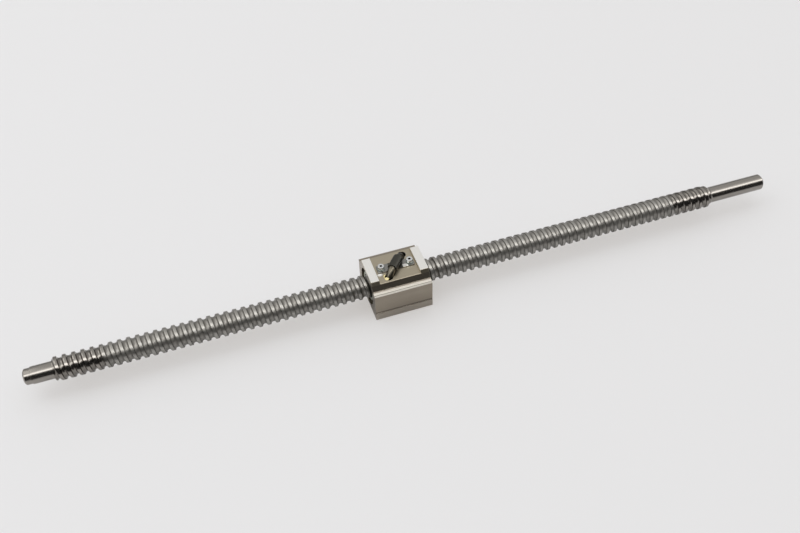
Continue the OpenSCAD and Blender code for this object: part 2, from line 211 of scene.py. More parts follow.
shaftFinish = {
    "rolled": (0.42, 0.41, 0.385),  # satin colour along the hardened thread
    "groove": (0.31, 0.30, 0.28),  # painted shade in the grooves
    "stain": (0.29, 0.275, 0.25),
    "stainShare": 0.35,
    "turned": (0.335, 0.315, 0.29),  # bright steel at both ends
    "turnedGroove": (0.24, 0.225, 0.205),  # painted shade in its grooves where the thread is bright
    "flank": (0.07, 0.065, 0.058),  # painted shade as thin dark lines beside the crests
    "flankShare": 0.85,
    "toolLine": (0.2, 0.19, 0.18),
    "toolLineShare": 0.22,
    "rolledRoughness": 0.36,
    "turnedRoughness": 0.14,
    "grooveRougher": 0.05,
    "toolLineRougher": 0.07,
    "turnedFlatter": 0.8,  # share of the bump that turning takes away
    # a pair holds the places between which a mask goes from 0 to 1
    "crestAt": (5.72, 6.9),  # radii from groove to crest
    "flankInside": (6.4, 6.6),
    "flankOutside": (6.99, 6.93),
    "leftBright": (-166.0, -171.0),  # places along the screw where the bright ends begin
    "rightBright": (181.0, 186.0),
    "brightWanders": 2.0,  # how far stains move those places
    "leftJournal": (-196.9, -197.2),
    "rightJournal": (208.0, 209.5),
}


def makeShaftSteel(s):
    material, tree, shader, place = newMaterial("shaftSteel")
    x, y, z = splitPlace(tree, place)
    radius = distance(tree, y, calc(tree, "SUBTRACT", z, axisHeight * mm))
    crest = inside(tree, s, crestAt=radius)
    patches = useGroup(tree, stains, place, 140.0, 1.0)
    moved = calc(tree, "ADD", x, product(tree, patches, s["brightWanders"] * mm))
    turned = calc(tree, "MAXIMUM", inside(tree, s, leftBright=moved), inside(tree, s, rightBright=moved))
    # the lines run round the shaft: they follow the place along it and the radius, and hardly the side
    around = addNode(tree, "CombineXYZ", {0: x, 1: radius, 2: product(tree, y, 0.02)}).outputs[0]
    lines = useGroup(tree, toolMarks, around, (5200, 5200, 5200), 1.6)
    # grooves are painted darker than the crests as shade, on the satin thread and on the bright ends
    satin = mixColour(tree, crest, s["groove"], s["rolled"])
    satin = paint(tree, satin, s, "stain", patches)
    journal = calc(tree, "MAXIMUM", inside(tree, s, leftJournal=x), inside(tree, s, rightJournal=x))
    bright = mixColour(tree, calc(tree, "MAXIMUM", journal, crest), s["turnedGroove"], s["turned"])
    colour = mixColour(tree, turned, satin, bright)
    # thin lines of painted shade beside the crests
    flank = inside(tree, s, flankInside=radius, flankOutside=radius)
    colour = paint(tree, colour, s, "flank", flank)
    colour = paint(tree, colour, s, "toolLine", lines)
    rough = addNode(tree, "MapRange", {
        "Value": turned, "To Min": s["rolledRoughness"], "To Max": s["turnedRoughness"]}).outputs[0]
    rough = calc(tree, "ADD", rough, product(tree, lines, s["toolLineRougher"]))
    groove = calc(tree, "SUBTRACT", 1.0, crest)
    setLooks(tree, shader, colour, calc(tree, "ADD", rough, product(tree, groove, s["grooveRougher"])))
    deep = calc(tree, "SUBTRACT", 1.0, product(tree, turned, s["turnedFlatter"]))
    addBump(tree, shader, product(tree, lines, deep), 0.25)
    return material


# Steel of the nut

nutFinish = {
    "body": (0.39, 0.346, 0.283),  # warm grey oxide on the drawn block
    "bodyDark": (0.307, 0.268, 0.217),
    "bodyRoughness": 0.33,
    "stainShare": 0.5,
    "toolLine": (0.2, 0.175, 0.15),
    "toolLineShare": 0.25,
    "ground": (0.95, 0.94, 0.91),  # top strips and base, ground white
    "groundDark": (0.74, 0.73, 0.70),
    "groundDarkShare": 0.4,
    "groundRoughness": 0.44,
    "wear": (0.72, 0.69, 0.64),
    "wearShare": 0.8,
    "wearSmoother": 0.08,
    # a pair holds the places between which a mask goes from 0 to 1
    "milled": (0.485, 0.431, 0.33),  # floor of the top recess
    "milledFrom": (floorHeight - 0.4, floorHeight - 0.2),
    "sideFrom": (15.8, 16.2),  # distance of both sides from the middle of the nut
    "band": (0.50, 0.46, 0.41),  # lower band of both sides
    "bandShare": 0.45,
    "bandTop": (5.3, 5.0),
    "line": (0.13, 0.11, 0.09),  # painted shadow line above the step near the base
    "lineShare": 0.8,
    "lineBottom": (5.1, 5.3),
    "lineTop": (6.8, 6.2),
    "ledge": (0.77, 0.73, 0.655),  # near ledge and its chamfer, painted pale and matt as a highlight
    "ledgeWearShare": 0.3,
    "ledgeMatt": 0.9,
    "ledgeBottom": (19.3, 19.55),
    "ledgeTop": (20.6, 20.4),
    "ledgeInside": (13.3, 13.6),
    "seam": (0.24, 0.22, 0.185),  # darker gap along the middle of that ledge, between its two painted highlight stripes
    "seamInside": (15.1, 15.2),
    "seamOutside": (15.7, 15.6),
    "hole": (0.045, 0.04, 0.035),  # painted shade in the two openings for the tube
    "holeRougher": 0.25,
    "holeTop": (floorHeight - 0.06, floorHeight - 0.25),
    "holeBottom": (13.5, 14.0),
    "holeSide": (2.7, 2.6),  # to either side of the tube's middle plane
    "holeInside": (1.8, 2.0),  # along the tube, from the middle of the circuit
    "holeOutside": (12.2, 12.1),
    "scuff": (0.95, 0.93, 0.88),  # painted glint in front of the left clamp screw
    "scuffMiddle": (-10.4, -3.9),
    "scuffReach": (1.45, 1.05),
    "scuffBottom": (floorHeight - 0.2, floorHeight),
    "glue": (0.95, 0.82, 0.42),  # hardened sealant beside the near leg of the tube
    "glueMiddle": (-7.9, -6.8),
    "glueReach": (0.9, 2.2),
    "glueBottom": (floorHeight - 1.5, floorHeight - 1.3),
    "spotUneven": 0.6,
    "spotRim": (1.4, 1.2),  # squared distance from a spot's middle, as a share of its reach
}


def startNutSteel(name, stretch):
    material, tree, shader, place = newMaterial(name)
    fine = useGroup(tree, toolMarks, place, stretch, 1.5)
    worn = useGroup(tree, edgeWear, place, 0.3 * mm)
    addBump(tree, shader, fine, 0.2)
    return material, tree, shader, place, fine, worn


def wearNutSteel(tree, colour, roughness, fine, worn, s):
    # worn edges are paler and smoother; the tool marks change the roughness by 0.06 either way
    colour = paint(tree, colour, s, "wear", worn)
    rough = calc(tree, "ADD", product(tree, fine, 0.12), roughness - 0.06)
    return colour, calc(tree, "SUBTRACT", rough, product(tree, worn, s["wearSmoother"]))


def makeGroundSteel(s):
    material, tree, shader, place, fine, worn = startNutSteel("groundSteel", (5000, 90, 90))
    colour = paint(tree, s["ground"], s, "groundDark", fine)
    setLooks(tree, shader, *wearNutSteel(tree, colour, s["groundRoughness"], fine, worn, s))
    return material


def makeNutSteel(s):
    material, tree, shader, place, fine, worn = startNutSteel("nutSteel", (60, 5000, 5000))
    x, y, z = splitPlace(tree, place)
    broad = useGroup(tree, toolMarks, place, (10, 240, 240), 1.8)
    patches = useGroup(tree, stains, place, 95.0, 0.5)
    colour = mixColour(tree, broad, s["bodyDark"], s["body"])
    colour = mixColour(tree, product(tree, patches, s["stainShare"]), colour, s["bodyDark"])
    colour = paint(tree, colour, s, "milled", inside(tree, s, milledFrom=z))
    colour = paint(tree, colour, s, "toolLine", fine)
    away, near = calc(tree, "ABSOLUTE", y), product(tree, y, -1.0)
    band = inside(tree, s, sideFrom=away, bandTop=z)
    colour = paint(tree, colour, s, "band", band)
    # a painted shadow line along the step above the lower band
    line = inside(tree, s, sideFrom=away, lineBottom=z, lineTop=z)
    colour = paint(tree, colour, s, "line", line)
    # the near ledge is painted pale and matt as a highlight, with a darker gap along its middle
    ledge = inside(tree, s, ledgeBottom=z, ledgeTop=z, ledgeInside=near)
    seam = inside(tree, s, seamInside=near, seamOutside=near)
    rubbed = mixColour(tree, product(tree, fine, s["ledgeWearShare"]), s["ledge"], s["wear"])
    colour = mixColour(tree, ledge, colour, mixColour(tree, seam, rubbed, s["seam"]))
    colour, rough = wearNutSteel(tree, colour, s["bodyRoughness"], fine, worn, s)
    # a painted glint in front of the left clamp screw, and the sealant beside the near leg of the tube
    scuff, glue = makeSpotMask(tree, place, s, "scuff"), makeSpotMask(tree, place, s, "glue")
    colour = paint(tree, colour, s, "scuff", scuff)
    colour = paint(tree, colour, s, "glue", glue)
    # painted shade on the walls of both openings for the tube
    hole = makeHoleMask(tree, x, y, z, s)
    colour = paint(tree, colour, s, "hole", hole)
    setLooks(tree, shader, colour, calc(tree, "ADD", rough, product(tree, hole, s["holeRougher"])))
    matt = calc(tree, "MAXIMUM", glue, product(tree, ledge, s["ledgeMatt"]))
    tree.links.new(calc(tree, "SUBTRACT", 1.0, matt), shader.inputs["Metallic"])
    return material


def alongTube(tree, x, y):
    # how far a place lies along the tube, seen from above
    return calc(tree, "ADD", product(tree, x, tubeAlong[0]), product(tree, y, tubeAlong[1]))


def makeHoleMask(tree, x, y, z, s):
    # the walls of both openings lie in a strip along the tube, below the recess floor
    x = calc(tree, "SUBTRACT", x, circuit["middle"] * mm)
    along = calc(tree, "ABSOLUTE", alongTube(tree, x, y))
    aside = calc(tree, "ABSOLUTE", alongTube(tree, y, product(tree, x, -1.0)))
    return inside(tree, s, holeSide=aside, holeInside=along, holeOutside=along, holeTop=z, holeBottom=z)


def makeSpotMask(tree, place, s, spot):
    # an ellipse with an uneven rim, seen from above, on what lies over the spot's bottom
    x, y, z = splitPlace(tree, place)
    noise = addNode(tree, "TexNoise", {"Vector": place, "Scale": 900.0}).outputs[0]
    away = product(tree, noise, s["spotUneven"])
    for axis, centre, size in zip((x, y), s[spot + "Middle"], s[spot + "Reach"]):
        part = calc(tree, "DIVIDE", calc(tree, "SUBTRACT", axis, centre * mm), size * mm)
        away = calc(tree, "ADD", away, product(tree, part, part))
    return product(tree, remap(tree, away, *s["spotRim"]), inside(tree, s, **{spot + "Bottom": z}))


# Steel of the small pieces

steels = {  # colour, darker colour, rubbed edges, roughness and the stretch of the tool marks
    "tubeSteel": ((0.155, 0.14, 0.108), (0.12, 0.108, 0.083), (0.26, 0.24, 0.2), 0.3, (300, 300, 300)),
    "clampSteel": ((0.075, 0.074, 0.064), (0.07, 0.066, 0.06), (0.36, 0.34, 0.31), 0.32, (120, 3000, 3000)),
    "fastenerZinc": ((0.78, 0.79, 0.79), (0.5, 0.51, 0.51), (0.92, 0.92, 0.9), 0.2, (1500, 1500, 300)),
    "washerSteel": ((0.36, 0.40, 0.365), (0.2, 0.225, 0.2), (0.8, 0.8, 0.78), 0.25, (1500, 1500, 1500)),
    "ringSteel": ((0.19, 0.185, 0.17), (0.05, 0.05, 0.05), (0.4, 0.38, 0.36), 0.35, (1500, 1500, 1500)),
    "ballSteel": ((0.72, 0.72, 0.72), (0.55, 0.55, 0.55), (0.8, 0.8, 0.8), 0.12, (800, 800, 800)),
}
steelShares = {"stain": 0.6, "toolLine": 0.3, "wear": 0.7, "stainRougher": 0.08}


def makePlainSteel(name, colour, dark, wear, roughness, stretch, s):
    # the tool marks change the roughness by 0.06 either way
    material, tree, shader, place = newMaterial(name)
    lines = useGroup(tree, toolMarks, place, stretch, 1.5)
    patches = useGroup(tree, stains, place, 420.0, 0.7)
    worn = useGroup(tree, edgeWear, place, 0.15 * mm)
    mixed = mixColour(tree, product(tree, patches, s["stain"]), colour, dark)
    mixed = mixColour(tree, product(tree, lines, s["toolLine"]), mixed, dark)
    mixed = mixColour(tree, product(tree, worn, s["wear"]), mixed, wear)
    rough = calc(tree, "ADD", product(tree, lines, 0.12), roughness - 0.06)
    setLooks(tree, shader, mixed, calc(tree, "ADD", rough, product(tree, patches, s["stainRougher"])))
    addBump(tree, shader, lines, 0.2)
    return material


socketLook = {"oil": (0.06, 0.06, 0.055), "rougher": 0.3, "within": (0.92, 0.84), "below": (3.05, 2.9)}
earLook = {
    "pale": (0.27, 0.265, 0.25),
    "start": (3.8, 4.2),  # distance of both ears from the middle of the clamp, along the screw
    "top": (0.85, 0.65),  # height over the recess floor
    # painted highlight on the right ear beside its screw
    "rubbed": (0.78, 0.77, 0.74),
    "rubbedLeft": (0.0, 1.0),
    "rubbedRight": (7.6, 7.2),
    "rubbedNear": (-0.6, -1.0),
}
farBendLook = {"shade": (0.03, 0.028, 0.024), "start": (5.2, 7.2)}


def fromMiddle(tree, x):
    # distance along the screw from the middle of the circuit
    return calc(tree, "ABSOLUTE", calc(tree, "SUBTRACT", x, circuit["middle"] * mm))


def darkenSockets(material, s):
    # painted shade at the bottom of the sockets, where little light reaches, and oil and dust gather there
    tree, shader, colour, (x, y, z) = reopen(material)
    away = distance(tree, calc(tree, "SUBTRACT", fromMiddle(tree, x), screwPitch / 2 * mm), y)
    height = calc(tree, "SUBTRACT", z, floorHeight * mm)
    oil = inside(tree, s, within=away, below=height)
    rough = shader.inputs["Roughness"].links[0].from_socket
    setLooks(tree, shader, paint(tree, colour, s, "oil", oil),
             calc(tree, "ADD", rough, product(tree, oil, s["rougher"])))


def brightenEars(material, s):
    # the ears are paler than the darkened saddle, and the right one gets a painted highlight beside its screw
    tree, shader, colour, (x, y, z) = reopen(material)
    height = calc(tree, "SUBTRACT", z, floorHeight * mm)
    ear = inside(tree, s, start=fromMiddle(tree, x), top=height)
    patch = product(tree, ear, inside(tree, s, rubbedRight=x, rubbedLeft=x, rubbedNear=y))
    pale = paint(tree, colour, s, "pale", ear)
    tree.links.new(paint(tree, pale, s, "rubbed", patch), shader.inputs["Base Color"])


def shadeFarBend(material, s):
    # little light reaches the far bend, where the tube goes down into its hole
    tree, shader, colour, place = reopen(material)
    far = inside(tree, s, start=alongTube(tree, place["X"], place["Y"]))
    tree.links.new(paint(tree, colour, s, "shade", far), shader.inputs["Base Color"])


# Seals and sealant

sealFinish = {
    "face": (0.36, 0.375, 0.315),
    "stain": (0.28, 0.295, 0.245),
    "grain": (0.14, 0.145, 0.12),
    "grainShare": 0.25,
    "grainRougher": 0.2,
    "roughness": 0.38,
}
sealantFinish = {
    "face": (0.93, 0.82, 0.45),
    "stain": (0.72, 0.6, 0.27),
    "stainRougher": 0.15,
    "roughness": 0.25,
}


def makeSealResin(s):
    material, tree, shader, place = newMaterial("sealResin", metallic=0.0)
    grain = useGroup(tree, toolMarks, place, (3000, 3000, 3000), 1.4)
    patches = useGroup(tree, stains, place, 300.0, 1.0)
    colour = mixColour(tree, patches, s["face"], s["stain"])
    colour = paint(tree, colour, s, "grain", grain)
    setLooks(tree, shader, colour, calc(tree, "ADD", product(tree, grain, s["grainRougher"]), s["roughness"]))
    addBump(tree, shader, grain, 0.3, depth=0.02)
    return material


def makeSealant(s):
    material, tree, shader, place = newMaterial("sealant", metallic=0.0)
    patches = useGroup(tree, stains, place, 1200.0, 0.8)
    setLooks(tree, shader, mixColour(tree, patches, s["face"], s["stain"]),
             calc(tree, "ADD", product(tree, patches, s["stainRougher"]), s["roughness"]))
    addBump(tree, shader, patches, 0.05, depth=0.02)
    return material


shaftSteel = makeShaftSteel(shaftFinish)
nutSteel, groundSteel = makeNutSteel(nutFinish), makeGroundSteel(nutFinish)
sealResin, sealant = makeSealResin(sealFinish), makeSealant(sealantFinish)
tubeSteel, clampSteel, fastenerZinc, washerSteel, ringSteel, ballSteel = (
    makePlainSteel(name, *look, steelShares) for name, look in steels.items())
darkenSockets(fastenerZinc, socketLook)
brightenEars(clampSteel, earLook)
shadeFarBend(tubeSteel, farBendLook)
print("materials ready")


# Tools for meshes: points come in millimetres as grids of rows and columns

cornerSteps = 4  # points of a rounded corner


def joined(x, y, z):
    # coordinates that are numbers or arrays become one array of points
    return np.stack(np.broadcast_arrays(x, y, z), -1)


def fullTurn(columns):
    return np.arange(columns) * 2 * np.pi / columns


def gridQuads(rows, columns, start=0, shift=0, wrapRows=False):
    # the columns close on themselves; shift is how many rows further on the last column meets the first
    row, column = np.meshgrid(np.arange(rows), np.arange(columns), indexing="ij")

    def index(r, c):
        r = r + np.where(c == columns, shift, 0)
        return start + (r % rows if wrapRows else r) * columns + c % columns

    top = row + 1 + np.where(column + 1 == columns, shift, 0)
    keep = np.full(row.shape, True) if wrapRows else top < rows
    corners = ((row, column), (row, column + 1), (row + 1, column + 1), (row + 1, column))
    return np.stack([index(r, c) for r, c in corners], -1)[keep]


def makeMesh(name, points, quads):
    # quads become a closed mesh: doubles merge, and the signed volume tells whether faces point outwards
    mesh = bpy.data.meshes.new(name)
    mesh.vertices.add(len(points))
    mesh.vertices.foreach_set("co", (points * mm).astype(np.float32).ravel())
    mesh.loops.add(quads.size)
    mesh.loops.foreach_set("vertex_index", quads.astype(np.int32).ravel())
    mesh.polygons.add(len(quads))
    mesh.polygons.foreach_set("loop_start", np.arange(0, quads.size, 4, dtype=np.int32))
    mesh.update(calc_edges=True)
    work = bmesh.new()
    work.from_mesh(mesh)
    bmesh.ops.remove_doubles(work, verts=work.verts[:], dist=2e-7)
    bmesh.ops.dissolve_degenerate(work, edges=work.edges[:], dist=1e-8)
    if work.calc_volume(signed=True) < 0:
        bmesh.ops.reverse_faces(work, faces=work.faces[:])
    work.to_mesh(mesh)
    work.free()
    return mesh


def finishPiece(name, mesh, materials, body, node, sharpAngle):
    mesh.polygons.foreach_set("use_smooth", np.full(len(mesh.polygons), True))
    mesh.set_sharp_from_angle(angle=math.radians(sharpAngle))
    for material in materials:
        mesh.materials.append(material)
    piece = bpy.data.objects.new(name, mesh)
    bpy.context.scene.collection.objects.link(piece)
    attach(piece, body)
    if node:
        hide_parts(node)
    print(name, len(mesh.polygons), "faces")
    return piece


def makePiece(name, grid, material, body, node, quads=None, sharpAngle=35.0):
    # the quads follow from the grid's rows and columns unless they are given
    mesh = makeMesh(name, grid.reshape(-1, 3), gridQuads(*grid.shape[:2]) if quads is None else quads)
    finishPiece(name, mesh, [material], body, node, sharpAngle)


def turnedGrid(x, radius, columns):
    # each row is a ring round the screw axis: radius along Y and Z by cosine and sine of the angle
    angle = fullTurn(columns)
    x, radius = np.asarray(x)[:, None], np.asarray(radius, float)[:, None]
    return joined(x, radius * np.cos(angle), axisHeight + radius * np.sin(angle))


def roundCorner(before, corner, after, size):
    # a quadratic curve from one side of a corner to the other, starting and ending size away from it
    before, corner, after = (np.asarray(p, float) for p in (before, corner, after))
    start = corner + size * (before - corner) / np.linalg.norm(before - corner)
    end = corner + size * (after - corner) / np.linalg.norm(after - corner)
    t = np.linspace(0, 1, cornerSteps)[:, None]
    return (1 - t) ** 2 * start + 2 * t * (1 - t) * corner + t ** 2 * end


def roundedOutline(corners, sizes):
    # every corner of the outline with a size above zero is replaced by its curve
    out, count = [], len(corners)
    for i, (corner, size) in enumerate(zip(corners, sizes)):
        if size > 0:
            out.append(roundCorner(corners[i - 1], corner, corners[(i + 1) % count], size))
        else:
            out.append(np.asarray([corner], float))
    return np.concatenate(out)


def roundedBox(left, right, low, high, size):
    return roundedOutline([[left, low], [right, low], [right, high], [left, high]], [size] * 4)


def closeEnds(rings):
    # the middle of the first and last section closes each end
    first = np.broadcast_to(rings[0].mean(0), rings[0].shape)[None]
    last = np.broadcast_to(rings[-1].mean(0), rings[-1].shape)[None]
    return np.concatenate([first, rings, last])


# Screw shaft

shaftSize = {
    "crestRadius": 7.0,
    "conformity": 0.52,  # groove radius as a share of the ball's diameter
    "edgeRound": 0.2,  # rounding between groove and land
    "arcSteps": 6,  # points of half the groove
    "edgeSteps": 5,
    "grooveX": -8.5,  # where the groove's middle passes the far side
    "facesPerTurn": 54,
    "threadLeft": -197.0,
    "threadRight": 211.0,
    "threadChamfer": 0.8,
    "runout": 3.5,  # length over which the thread fades into the right journal
    "journalRadius": 5.0,
    "leftEnd": -213.0,
    "leftTipRadius": 4.6,
    "leftTipLength": 4.0,
    "leftChamfer": 0.8,
    "shoulderChamfer": 0.15,
    "undercutLength": 0.3,
    "undercutDepth": 0.05,
    "faceRing": 0.3,  # height over the left journal of a ring on the thread's flat start
    "firstRing": 0.4,  # distance of a ring on the right journal from the thread
    "rightEnd": 249.0,
    "rightChamfer": 1.2,
    "centreRadius": 1.0,  # centre hole in both ends
    "centreDepth": 1.0,
}


def halfGroove(s):
    # distance from the groove's middle against radius: two arcs a little larger than the ball meet in the
    # middle, a fillet that touches arc and land rounds the edge, and the land is level to half a pitch
    ball, circle, crest = circuit["ballRadius"], circuit["circleRadius"], s["crestRadius"]
    arc, fillet = s["conformity"] * 2 * ball, s["edgeRound"]
    off = (arc - ball) * math.sqrt(0.5)
    down = circle + off - (crest - fillet)
    across = math.sqrt((arc + fillet) ** 2 - down ** 2)
    end = math.atan2(across, down)
    t = np.linspace(math.asin(off / arc), end, s["arcSteps"])
    groove = np.stack([arc * np.sin(t) - off, circle + off - arc * np.cos(t)], -1)
    t = np.linspace(math.pi / 2 + end, math.pi / 2, s["edgeSteps"])[1:]
    edge = np.stack([across - off + fillet * np.cos(t), crest - fillet + fillet * np.sin(t)], -1)
    return np.concatenate([groove, edge, [[circuit["lead"] / 2, crest]]])


def threadEnvelope(x, s):
    # a chamfer starts the thread at the left, and a smooth step down to the journal ends it at the right
    start = s["crestRadius"] - s["threadChamfer"] + (x - s["threadLeft"])
    t = np.clip((x - (s["threadRight"] - s["runout"])) / s["runout"], 0, 1)
    fadeOut = s["crestRadius"] + (s["journalRadius"] - s["crestRadius"]) * t * t * (3 - 2 * t)
    return np.minimum(start, fadeOut)


def threadRadius(x, turn, profile, s):
    # radius at a place and turn: the profile is read at the distance to the helix of the groove's middle
    lead = circuit["lead"]
    away = (x - s["grooveX"] - lead * turn + lead / 2) % lead - lead / 2
    return np.minimum(np.interp(np.abs(away), profile[:, 0], profile[:, 1]), threadEnvelope(x, s))


def makeShaft(s):
    # the profile follows the helix, and each row closes on the row one turn further on; rings make the ends
    columns, lead, start, end = s["facesPerTurn"], circuit["lead"], s["threadLeft"], s["threadRight"]
    profile = halfGroove(s)
    offsets = np.concatenate([-profile[:0:-1, 0], profile[:, 0]])[1:]
    first = math.floor((start - s["grooveX"]) / lead) - 2
    last = math.ceil((end - s["grooveX"]) / lead) + 2
    base = s["grooveX"] + (np.arange(first, last)[:, None] * lead + offsets).ravel()
    turn = np.arange(columns) / columns
    angle = 2 * np.pi * turn
    x = np.clip(base[:, None] + lead * turn, start, end)
    radius = threadRadius(x, turn, profile, s)
    thread = joined(x, radius * np.cos(angle), axisHeight + radius * np.sin(angle))
    tip, journal = s["leftTipRadius"], s["journalRadius"]
    chamfer, notch = s["leftChamfer"], s["shoulderChamfer"]
    shoulder = s["leftEnd"] + s["leftTipLength"]
    left = turnedGrid(
        [s["leftEnd"] + s["centreDepth"], s["leftEnd"], s["leftEnd"], s["leftEnd"] + chamfer, shoulder,
         shoulder, shoulder + notch, start - s["undercutLength"], start, start],
        [0, s["centreRadius"], tip - chamfer, tip, tip,
         journal - notch, journal, journal, journal - s["undercutDepth"], journal + s["faceRing"]], columns)
    meeting = threadRadius(np.full(columns, start), turn, profile, s)
    closing = joined(start, meeting * np.cos(angle), axisHeight + meeting * np.sin(angle))
    left = np.concatenate([left, closing[None]])
    right = turnedGrid(
        [end, end + s["firstRing"], s["rightEnd"] - s["rightChamfer"], s["rightEnd"], s["rightEnd"],
         s["rightEnd"] - s["centreDepth"]],
        [journal, journal, journal, journal - s["rightChamfer"], s["centreRadius"], 0], columns)
    points, quads = [thread.reshape(-1, 3)], [gridQuads(len(base), columns, shift=len(offsets))]
    for part in (left, right):
        quads.append(gridQuads(len(part), columns, start=sum(len(p) for p in points)))
        points.append(part.reshape(-1, 3))
    makePiece("screwShaft", np.concatenate(points), shaftSteel, "screw", "screw_shaft",
              np.concatenate(quads))


makeShaft(shaftSize)


# Return tube

tubeSize = {
    "bend": 6.8,  # radius of both bends
    "outer": 2.2125,
    "bore": 1.7125,
    "lift": 0.1,  # gap between tube and recess floor
    "foot": 0.8,  # lowest end of the legs above the screw axis
    "nutBore": 7.3,
    "columns": 40,
    "bendSteps": 12,
}
tubeSpan = math.hypot(circuitLength, 2 * circuit["circleRadius"])
tubeHeight = floorHeight + tubeSize["lift"] + tubeSize["outer"]


def acrossNut(along, side, height):
    # the tube's own plane is turned about the vertical through the middle of the circuit
    return joined(circuit["middle"] + along * tubeAlong[0] - side * tubeAlong[1],
                  along * tubeAlong[1] + side * tubeAlong[0], height)


def makeTube(s):
    # a circle is carried up one leg, round the bend, along the run, round the second bend and down;
    # the lowest ring of each leg is lifted where it would cut into the bore of the nut
    bend, elbow, foot = s["bend"], tubeHeight - s["bend"], axisHeight + s["foot"]
    half, t = tubeSpan / 2, np.linspace(0, np.pi / 2, s["bendSteps"])
    run = half - bend
    pathU = np.concatenate([[-half], -run - bend * np.cos(t), run + bend * np.sin(t), [half]])
    pathZ = np.concatenate([[foot], elbow + bend * np.sin(t), elbow + bend * np.cos(t), [foot]])
    lean = np.concatenate([[0], t, np.pi / 2 + t, [np.pi]])
    angle = fullTurn(s["columns"])

    def wall(radius):
        out = radius * np.cos(angle)
        along = pathU[:, None] - out * np.cos(lean)[:, None]
        height = pathZ[:, None] + out * np.sin(lean)[:, None]
        rings = acrossNut(along, radius * np.sin(angle), height)
        for end in (0, -1):
            aside = np.abs(rings[end, :, 1])
            clear = np.sqrt(np.maximum(s["nutBore"] ** 2 - aside ** 2, 0))
            rings[end, :, 2] = axisHeight + np.maximum(s["foot"], clear)
        return rings

    loop = np.concatenate([wall(s["outer"]), wall(s["bore"])[::-1]])
    quads = gridQuads(len(loop), s["columns"], wrapRows=True)
    makePiece("returnTube", loop, tubeSteel, "nut", "return_tube", quads)


makeTube(tubeSize)


# Clamp screws, washers, seals and rings

screwSize = {
    "headBottom": floorHeight + 1.1,
    "headRadius": 1.9,
    "headHeight": 2.0,
    "headRound": 0.25,
    "underRound": 0.06,
    "underInside": 0.9,  # where the outline of the head begins
    "socketWidth": 1.5,
    "socketDepth": 1.0,
    "socketRim": 0.06,  # width and depth of the chamfer round the hexagon
    "socketRimDepth": 0.08,
    "drillDepth": 0.25,  # cone below the hexagon
    "shankRadius": 1.0,
    "shankBottom": floorHeight - 2.4,
    "shankChamfer": 0.2,
    "columns": 48,
}


def makeClampScrew(side, word, s):
    # rings from the bottom of the socket, which is a hexagon, out over the head and down the shank
    top, low = s["headBottom"] + s["headHeight"], s["headBottom"]
    angle, half = fullTurn(s["columns"]), s["socketWidth"] / 2
    flat = half / np.cos((angle + np.pi / 6) % (np.pi / 3) - np.pi / 6)
    rim = np.full_like(flat, half / math.cos(math.pi / 6) + s["socketRim"])
    r, shank, chamfer = s["headRadius"], s["shankRadius"], s["shankChamfer"]
    head = roundedOutline([[s["underInside"], top], [r, top], [r, low], [shank, low]],
                          [0, s["headRound"], s["underRound"], 0])[1:-1]
    stem = np.array([[shank, low], [shank, s["shankBottom"] + chamfer], [shank - chamfer, s["shankBottom"]],
                     [0, s["shankBottom"]]])
    outside = np.concatenate([head, stem])
    radii = np.concatenate([np.stack([flat * 0, flat, flat, rim]), outside[:, :1] * np.ones(s["columns"])])
    bottom = top - s["socketDepth"]
    socket = [bottom - s["drillDepth"], bottom, top - s["socketRimDepth"], top]
    heights = np.concatenate([socket, outside[:, 1]])
    centre = circuit["middle"] + side * screwPitch / 2
    grid = joined(centre + radii * np.cos(angle), radii * np.sin(angle), heights[:, None])
    makePiece(word + "ClampScrew", grid, fastenerZinc, "nut", word + "_clamp_screw")


washerSize = {
    "inner": 1.06,
    "outer": 2.2,
    "bottom": floorHeight + 0.6,  # on the clamp's ear
    "thickness": 0.46,
    "round": 0.08,
    "rise": 0.03,
    "gap": 11.0,  # half the slit, in degrees
    "columns": 64,
}


def makeWasher(side, word, s):
    # a rounded rectangle is carried round the screw and climbs a little from one end of the slit to the other
    section = roundedBox(s["inner"], s["outer"], s["bottom"], s["bottom"] + s["thickness"], s["round"])
    gap = math.radians(s["gap"])
    angle = np.linspace(gap, 2 * np.pi - gap, s["columns"])[:, None]
    climb = s["rise"] * (angle - gap) / (2 * np.pi - 2 * gap)
    centre = circuit["middle"] + side * screwPitch / 2
    grid = closeEnds(joined(centre + section[:, 0] * np.cos(angle), section[:, 0] * np.sin(angle),
                            section[:, 1] + climb))
    makePiece(word + "SpringWasher", grid, washerSteel, "nut", word + "_spring_washer")


sealSize = {
    "lip": 7.2,
    "flange": 11.1,
    "hub": 8.7,
    "seat": 13.1,
    "flangeEnd": 14.5,
    "end": 16.8,
    "rounds": (0.1, 0.15, 0.15, 0.2, 0.3, 0.2),  # of the section's corners, from the lip at the seat
    "columns": 96,
}


def makeSeal(side, word, s):
    # an L-shaped section with softened corners is turned round the screw axis
    section = roundedOutline(
        [[s["seat"], s["lip"]], [s["seat"], s["flange"]], [s["flangeEnd"], s["flange"]],
         [s["flangeEnd"], s["hub"]], [s["end"], s["hub"]], [s["end"], s["lip"]]], s["rounds"])
    grid = turnedGrid(side * section[:, 0], section[:, 1], s["columns"])
    quads = gridQuads(len(grid), s["columns"], wrapRows=True)
    makePiece(word + "Seal", grid, sealResin, "nut", word + "_seal", quads)


ringSize = {
    "inner": 10.12,
    "outer": 11.62,
    "start": 14.66,
    "end": 15.46,
    "round": 0.1,
    "opening": 40.0,  # degrees
    "columns": 80,
}


